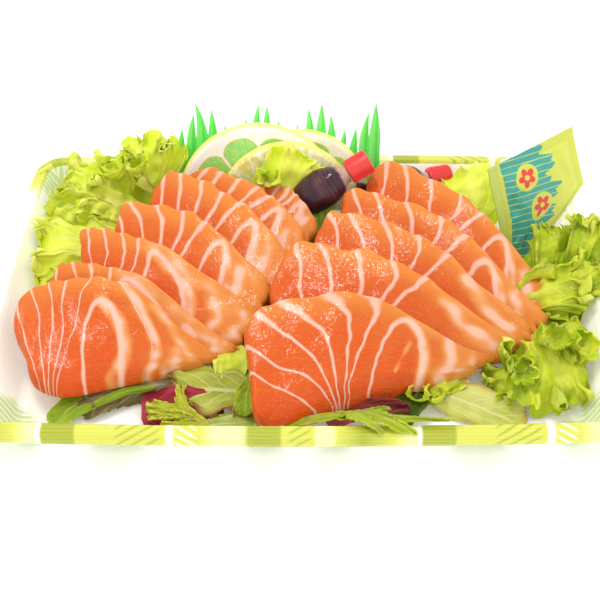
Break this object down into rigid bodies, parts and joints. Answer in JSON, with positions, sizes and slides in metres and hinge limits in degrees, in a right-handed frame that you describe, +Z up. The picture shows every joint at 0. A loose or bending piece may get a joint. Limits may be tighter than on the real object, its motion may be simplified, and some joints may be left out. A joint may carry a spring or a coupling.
{
  "type": "salmon sashimi tray",
  "caption": "Sliced raw salmon fanned in two rows on salad leaves in a printed takeaway tray, with lemon slices, a grass divider, small sauce bottles and a condiment sachet.",
  "frame": {"origin": "middle of the tray's underside", "axes": "+X along the tray's long side to the right of a diner, +Y towards the back of the tray, +Z up"},
  "size_m": [0.2236, 0.1566, 0.0485],
  "materials": {
    "tray": "glossy printed sheet",
    "salmon": "wet",
    "lettuce": "satin leaf",
    "dark_leaf": "satin leaf",
    "red_leaf": "satin leaf",
    "lemon": "moist",
    "divider": "translucent film",
    "sauce_bottle": "glossy",
    "bottle_cap": "glossy",
    "sachet": "glossy film"
  },
  "bodies": {
    "root": {"tray": "tray", "divider": "divider", "sachet": "sachet", "sauce_bottle_1": "sauce_bottle", "sauce_bottle_2": "sauce_bottle", "bottle_cap_1": "bottle_cap", "bottle_cap_2": "bottle_cap", "lemon_front": "lemon", "lemon_middle": "lemon", "lemon_back": "lemon", "salmon_left_1": "salmon", "salmon_left_2": "salmon", "salmon_left_3": "salmon", "salmon_left_4": "salmon", "salmon_left_5": "salmon", "salmon_left_6": "salmon", "salmon_left_7": "salmon", "salmon_right_1": "salmon", "salmon_right_2": "salmon", "salmon_right_3": "salmon", "salmon_right_4": "salmon", "salmon_right_5": "salmon", "salad_bed": "lettuce", "lettuce_left": "lettuce", "lettuce_right": "lettuce", "lettuce_back": "lettuce", "lettuce_rear": "lettuce", "lettuce_middle": "lettuce", "frisee": "lettuce", "lettuce_stem": "lettuce", "lettuce_flat": "lettuce", "lettuce_frill": "lettuce", "baby_leaf": "dark_leaf", "oak_leaf": "dark_leaf", "dark_leaf": "dark_leaf", "mizuna": "dark_leaf", "radicchio": "red_leaf", "purple_leaf": "red_leaf"}
  },
  "joints": []
}
